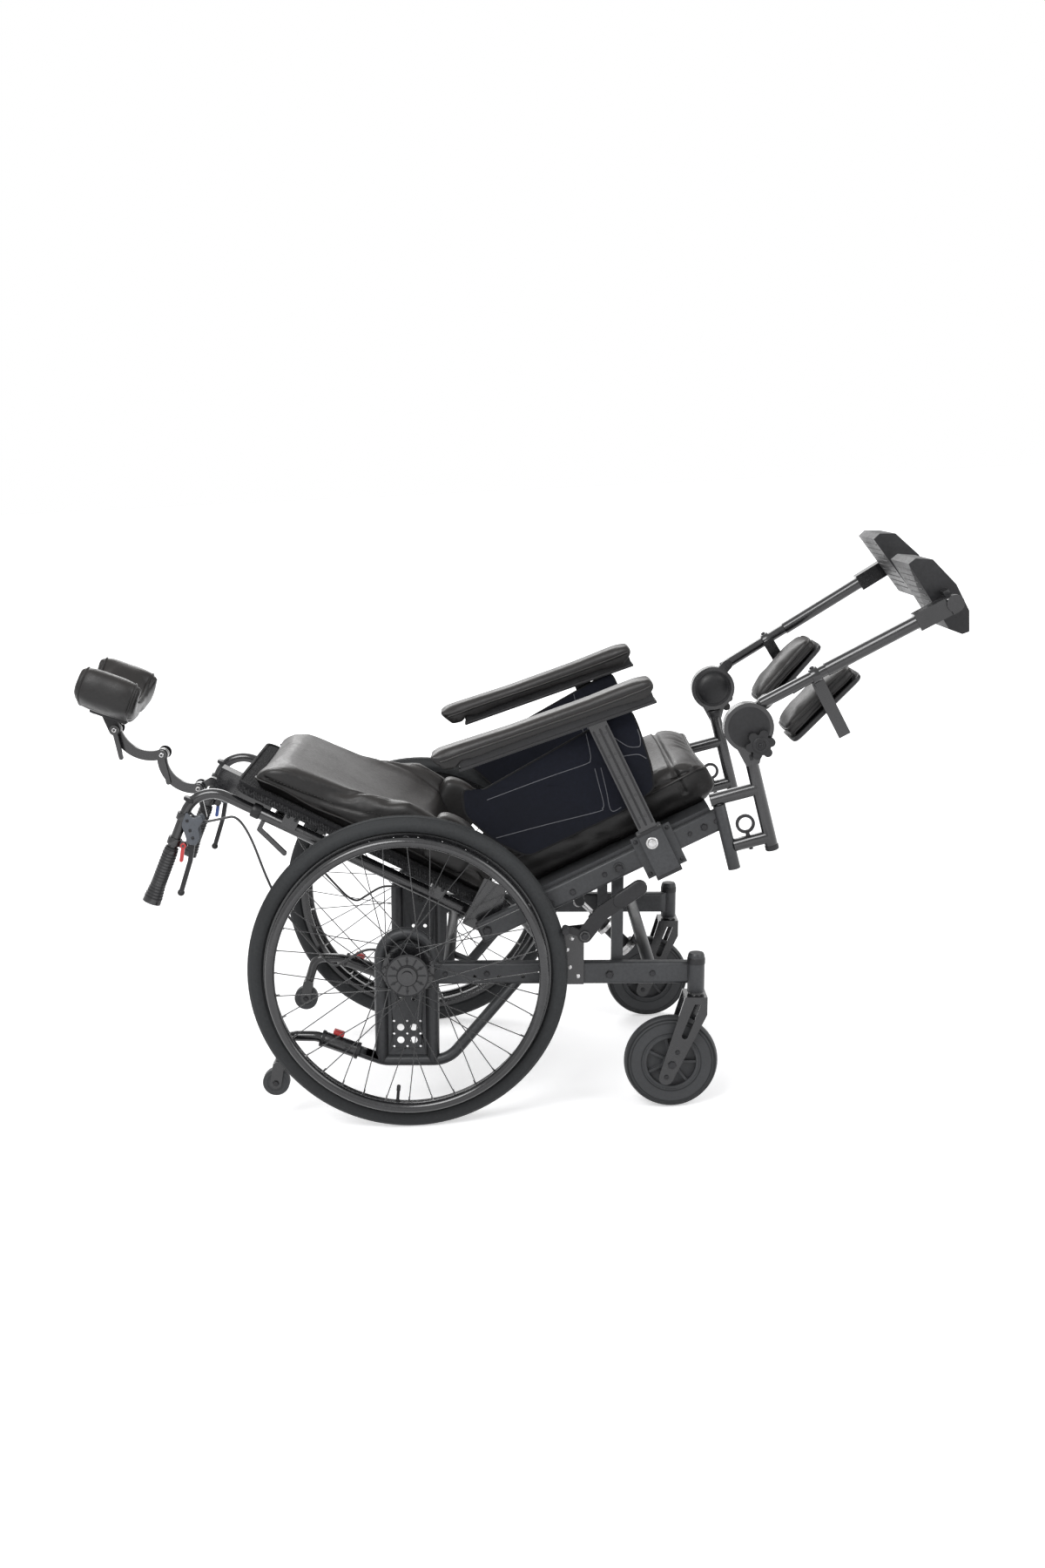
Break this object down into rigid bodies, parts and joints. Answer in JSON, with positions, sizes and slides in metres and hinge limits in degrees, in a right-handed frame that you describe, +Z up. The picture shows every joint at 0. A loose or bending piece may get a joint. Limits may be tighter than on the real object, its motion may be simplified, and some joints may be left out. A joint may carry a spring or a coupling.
{
  "type": "tilt in space wheelchair",
  "caption": "Reclined tilt in space wheelchair with spoked drive wheels, casters, headrest, armrests and elevating legrests.",
  "frame": {"origin": "on the floor, in the middle of the space the chair takes up", "axes": "+X towards the front of the chair, +Y to the sitter's left, +Z up"},
  "size_m": [1.7632, 0.747, 1.0691],
  "materials": {
    "frame": "charcoal powder coat, satin",
    "bare_steel": "satin steel",
    "rim": "black anodised, satin",
    "black_plastic": "fine-textured moulding",
    "grey_plastic": "moulded, matt",
    "tyre": "dark grey solid rubber",
    "cushion": "dark coated upholstery over foam",
    "panel": "navy-black textile with grey piping",
    "cable": "black sheathed cable",
    "trigger_red": "red lever",
    "trigger_blue": "blue lever"
  },
  "bodies": {
    "base": {"base_frame": "frame", "axle_plates": "frame", "brake_brackets": "rim", "antitip_sockets": "rim", "brake_cables": "cable"},
    "seat": {"seat_frame": "frame", "seat_cushion": "cushion"},
    "back": {"back_frame": "rim", "back_shell": "black_plastic", "back_cushion": "cushion"},
    "headrest_post": {"headrest_post": "rim"},
    "headrest_lower_link": {"headrest_lower_link": "rim"},
    "headrest_upper_link": {"headrest_upper_link": "rim"},
    "headrest_pad": {"headrest_pad": "cushion"},
    "tilt_spring_cylinder": {"tilt_spring_cylinder": "black_plastic"},
    "tilt_spring_rod": {"tilt_spring_rod": "bare_steel"},
    "recline_spring_cylinder": {"recline_spring_cylinder": "black_plastic"},
    "recline_spring_rod": {"recline_spring_rod": "bare_steel"},
    "right_wheel": {"right_tyre": "tyre", "right_spoked_wheel": "rim", "right_handrim": "rim"},
    "right_caster": {"right_caster_fork": "rim"},
    "right_caster_wheel": {"right_caster_wheel": "grey_plastic"},
    "right_antitip": {"right_antitip_arm": "rim"},
    "right_antitip_wheel": {"right_antitip_wheel": "grey_plastic"},
    "right_parking_brake": {"right_parking_brake_lever": "black_plastic"},
    "right_push_handle": {"right_push_handle": "rim"},
    "right_brake_lever": {"right_brake_lever": "black_plastic"},
    "right_trigger": {"right_trigger": "trigger_red"},
    "right_armrest": {"right_armrest_upright": "rim", "right_armrest_pad": "cushion", "right_side_panel": "panel"},
    "right_hanger": {"right_leg_hanger": "rim"},
    "right_knob": {"right_leg_knob": "black_plastic"},
    "right_pull_pin": {"right_pull_pin": "bare_steel"},
    "right_elevating_arm": {"right_leg_elevating_arm": "rim"},
    "right_calf_pad": {"right_calf_pad": "cushion"},
    "right_foot_tube": {"right_foot_tube": "rim"},
    "right_footplate": {"right_footplate": "black_plastic"},
    "left_wheel": {"left_tyre": "tyre", "left_spoked_wheel": "rim", "left_handrim": "rim"},
    "left_caster": {"left_caster_fork": "rim"},
    "left_caster_wheel": {"left_caster_wheel": "grey_plastic"},
    "left_antitip": {"left_antitip_arm": "rim"},
    "left_antitip_wheel": {"left_antitip_wheel": "grey_plastic"},
    "left_parking_brake": {"left_parking_brake_lever": "black_plastic"},
    "left_push_handle": {"left_push_handle": "rim"},
    "left_brake_lever": {"left_brake_lever": "black_plastic"},
    "left_trigger": {"left_trigger": "trigger_blue"},
    "left_armrest": {"left_armrest_upright": "rim", "left_armrest_pad": "cushion", "left_side_panel": "panel"},
    "left_hanger": {"left_leg_hanger": "rim"},
    "left_knob": {"left_leg_knob": "black_plastic"},
    "left_pull_pin": {"left_pull_pin": "bare_steel"},
    "left_elevating_arm": {"left_leg_elevating_arm": "rim"},
    "left_calf_pad": {"left_calf_pad": "cushion"},
    "left_foot_tube": {"left_foot_tube": "rim"},
    "left_footplate": {"left_footplate": "black_plastic"}
  },
  "joints": [
    {"name": "tilt", "type": "hinge", "parent": "base", "child": "seat", "pos_m": [0.18756, 0, 0.47905], "axis": [0, 1, 0], "range_deg": [0, 26], "deforming": ["brake_cables"]},
    {"name": "recline", "type": "hinge", "parent": "seat", "child": "back", "pos_m": [-0.06967, 0, 0.36845], "axis": [0, 1, 0], "range_deg": [0, 38], "deforming": ["brake_cables"]},
    {"name": "tilt_spring_turn", "type": "hinge", "parent": "base", "child": "tilt_spring_cylinder", "pos_m": [0.22037, 0, 0.24372], "axis": [0, 1, 0], "range_deg": [-1.73, 0]},
    {"name": "tilt_spring_stroke", "type": "slide", "parent": "tilt_spring_cylinder", "child": "tilt_spring_rod", "axis": [-0.6799, 0, 0.7333], "range_m": [0, 0.06553]},
    {"name": "recline_spring_turn", "type": "hinge", "parent": "seat", "child": "recline_spring_cylinder", "pos_m": [0.13381, 0, 0.40152], "axis": [0, 1, 0], "range_deg": [0, 0.4091]},
    {"name": "recline_spring_stroke", "type": "slide", "parent": "recline_spring_cylinder", "child": "recline_spring_rod", "axis": [-0.9027, 0, -0.4303], "range_m": [0, 0.04018]},
    {"name": "headrest_height", "type": "slide", "parent": "back", "child": "headrest_post", "axis": [-0.8752, 0, 0.4838], "range_m": [0, 0.06]},
    {"name": "headrest_low_hinge", "type": "hinge", "parent": "headrest_post", "child": "headrest_lower_link", "pos_m": [-0.649, 0, 0.62473], "axis": [0, 1, 0], "range_deg": [-20, 20]},
    {"name": "headrest_mid_hinge", "type": "hinge", "parent": "headrest_lower_link", "child": "headrest_upper_link", "pos_m": [-0.71744, 0, 0.69811], "axis": [0, 1, 0], "range_deg": [-20, 20]},
    {"name": "headrest_top_hinge", "type": "hinge", "parent": "headrest_upper_link", "child": "headrest_pad", "pos_m": [-0.80895, 0, 0.75395], "axis": [0, 1, 0], "range_deg": [-20, 20]},
    {"name": "right_wheel_spin", "type": "hinge", "parent": "base", "child": "right_wheel", "pos_m": [-0.22422, -0.334, 0.305], "axis": [0, 1, 0], "continuous": true},
    {"name": "right_caster_swivel", "type": "hinge", "parent": "base", "child": "right_caster", "pos_m": [0.32672, -0.293, 0.22762], "axis": [0.0477, 0, 0.9989], "continuous": true},
    {"name": "right_caster_spin", "type": "hinge", "parent": "right_caster", "child": "right_caster_wheel", "pos_m": [0.27365, -0.293, 0.0913], "axis": [0, 1, 0], "continuous": true},
    {"name": "right_antitip_reach", "type": "slide", "parent": "base", "child": "right_antitip", "axis": [-0.9192, 0, 0.3939], "range_m": [0, 0.03]},
    {"name": "right_antitip_spin", "type": "hinge", "parent": "right_antitip", "child": "right_antitip_wheel", "pos_m": [-0.49608, -0.28, 0.08372], "axis": [0, 1, 0], "continuous": true},
    {"name": "right_parking_brake_release", "type": "hinge", "parent": "base", "child": "right_parking_brake", "pos_m": [0.11574, -0.32, 0.35884], "axis": [0, 1, 0], "range_deg": [0, 35]},
    {"name": "right_push_handle_reach", "type": "slide", "parent": "back", "child": "right_push_handle", "axis": [-0.8752, 0, 0.4838], "range_m": [0, 0.08]},
    {"name": "right_brake_squeeze", "type": "hinge", "parent": "right_push_handle", "child": "right_brake_lever", "pos_m": [-0.63035, -0.215, 0.56493], "axis": [0, 1, 0], "range_deg": [0, 12], "stiffness_Nm_per_rad": 0.3, "springref_deg": -11.46},
    {"name": "right_trigger_squeeze", "type": "hinge", "parent": "right_push_handle", "child": "right_trigger", "pos_m": [-0.65043, -0.215, 0.54993], "axis": [0, 1, 0], "range_deg": [0, 15], "stiffness_Nm_per_rad": 0.3, "springref_deg": -11.46},
    {"name": "right_armrest_height", "type": "slide", "parent": "seat", "child": "right_armrest", "axis": [-0.395, 0, 0.9187], "range_m": [0, 0.08]},
    {"name": "right_leg_swing", "type": "hinge", "parent": "seat", "child": "right_hanger", "pos_m": [0.3825, -0.293, 0.59149], "axis": [0.203, 0, -0.9792], "range_deg": [0, 75]},
    {"name": "right_knob_turn", "type": "hinge", "parent": "right_hanger", "child": "right_knob", "pos_m": [0.46034, -0.31, 0.70761], "axis": [0, 1, 0], "continuous": true},
    {"name": "right_pin_pull", "type": "slide", "parent": "right_hanger", "child": "right_pull_pin", "axis": [-0.203, 0, 0.9792], "range_m": [0, 0.01], "stiffness_N_per_m": 400, "springref_m": -0.008},
    {"name": "right_leg_raise", "type": "hinge", "parent": "right_hanger", "child": "right_elevating_arm", "pos_m": [0.44176, -0.293, 0.7391], "axis": [0, 1, 0], "range_deg": [0, 65]},
    {"name": "right_calf_pad_turn", "type": "hinge", "parent": "right_elevating_arm", "child": "right_calf_pad", "pos_m": [0.6084, -0.268, 0.74918], "axis": [0, 1, 0], "range_deg": [-15, 15]},
    {"name": "right_foot_reach", "type": "slide", "parent": "right_elevating_arm", "child": "right_foot_tube", "axis": [0.9043, 0, 0.4268], "range_m": [0, 0.08]},
    {"name": "right_footplate_flip", "type": "hinge", "parent": "right_foot_tube", "child": "right_footplate", "pos_m": [0.8308, -0.246, 0.95367], "axis": [-0.4268, 0, 0.9043], "range_deg": [0, 85]},
    {"name": "left_wheel_spin", "type": "hinge", "parent": "base", "child": "left_wheel", "pos_m": [-0.22422, 0.334, 0.305], "axis": [0, 1, 0], "continuous": true},
    {"name": "left_caster_swivel", "type": "hinge", "parent": "base", "child": "left_caster", "pos_m": [0.32672, 0.293, 0.22762], "axis": [0.0477, 0, 0.9989], "continuous": true},
    {"name": "left_caster_spin", "type": "hinge", "parent": "left_caster", "child": "left_caster_wheel", "pos_m": [0.27365, 0.293, 0.0913], "axis": [0, 1, 0], "continuous": true},
    {"name": "left_antitip_reach", "type": "slide", "parent": "base", "child": "left_antitip", "axis": [-0.9192, 0, 0.3939], "range_m": [0, 0.03]},
    {"name": "left_antitip_spin", "type": "hinge", "parent": "left_antitip", "child": "left_antitip_wheel", "pos_m": [-0.49608, 0.28, 0.08372], "axis": [0, 1, 0], "continuous": true},
    {"name": "left_parking_brake_release", "type": "hinge", "parent": "base", "child": "left_parking_brake", "pos_m": [0.11574, 0.32, 0.35884], "axis": [0, 1, 0], "range_deg": [0, 35]},
    {"name": "left_push_handle_reach", "type": "slide", "parent": "back", "child": "left_push_handle", "axis": [-0.8752, 0, 0.4838], "range_m": [0, 0.08]},
    {"name": "left_brake_squeeze", "type": "hinge", "parent": "left_push_handle", "child": "left_brake_lever", "pos_m": [-0.63035, 0.215, 0.56493], "axis": [0, 1, 0], "range_deg": [0, 12], "stiffness_Nm_per_rad": 0.3, "springref_deg": -11.46},
    {"name": "left_trigger_squeeze", "type": "hinge", "parent": "left_push_handle", "child": "left_trigger", "pos_m": [-0.65043, 0.215, 0.54993], "axis": [0, 1, 0], "range_deg": [0, 15], "stiffness_Nm_per_rad": 0.3, "springref_deg": -11.46},
    {"name": "left_armrest_height", "type": "slide", "parent": "seat", "child": "left_armrest", "axis": [-0.395, 0, 0.9187], "range_m": [0, 0.08]},
    {"name": "left_leg_swing", "type": "hinge", "parent": "seat", "child": "left_hanger", "pos_m": [0.3825, 0.293, 0.59149], "axis": [-0.203, 0, 0.9792], "range_deg": [0, 75]},
    {"name": "left_knob_turn", "type": "hinge", "parent": "left_hanger", "child": "left_knob", "pos_m": [0.46034, 0.31, 0.70761], "axis": [0, 1, 0], "continuous": true},
    {"name": "left_pin_pull", "type": "slide", "parent": "left_hanger", "child": "left_pull_pin", "axis": [-0.203, 0, 0.9792], "range_m": [0, 0.01], "stiffness_N_per_m": 400, "springref_m": -0.008},
    {"name": "left_leg_raise", "type": "hinge", "parent": "left_hanger", "child": "left_elevating_arm", "pos_m": [0.44176, 0.293, 0.7391], "axis": [0, 1, 0], "range_deg": [0, 65]},
    {"name": "left_calf_pad_turn", "type": "hinge", "parent": "left_elevating_arm", "child": "left_calf_pad", "pos_m": [0.60729, 0.268, 0.76078], "axis": [0, 1, 0], "range_deg": [-15, 15]},
    {"name": "left_foot_reach", "type": "slide", "parent": "left_elevating_arm", "child": "left_foot_tube", "axis": [0.8724, 0, 0.4888], "range_m": [0, 0.06]},
    {"name": "left_footplate_flip", "type": "hinge", "parent": "left_foot_tube", "child": "left_footplate", "pos_m": [0.83407, 0.246, 0.99104], "axis": [0.4888, 0, -0.8724], "range_deg": [0, 85]}
  ],
  "couplings": [
    {"joint": "tilt_spring_turn", "follows": "tilt", "ratio": -0.0615},
    {"joint": "tilt_spring_stroke", "follows": "tilt", "m_per_rad": 0.14157},
    {"joint": "recline_spring_turn", "follows": "recline", "ratio": 0.009},
    {"joint": "recline_spring_stroke", "follows": "recline", "m_per_rad": 0.059392}
  ]
}
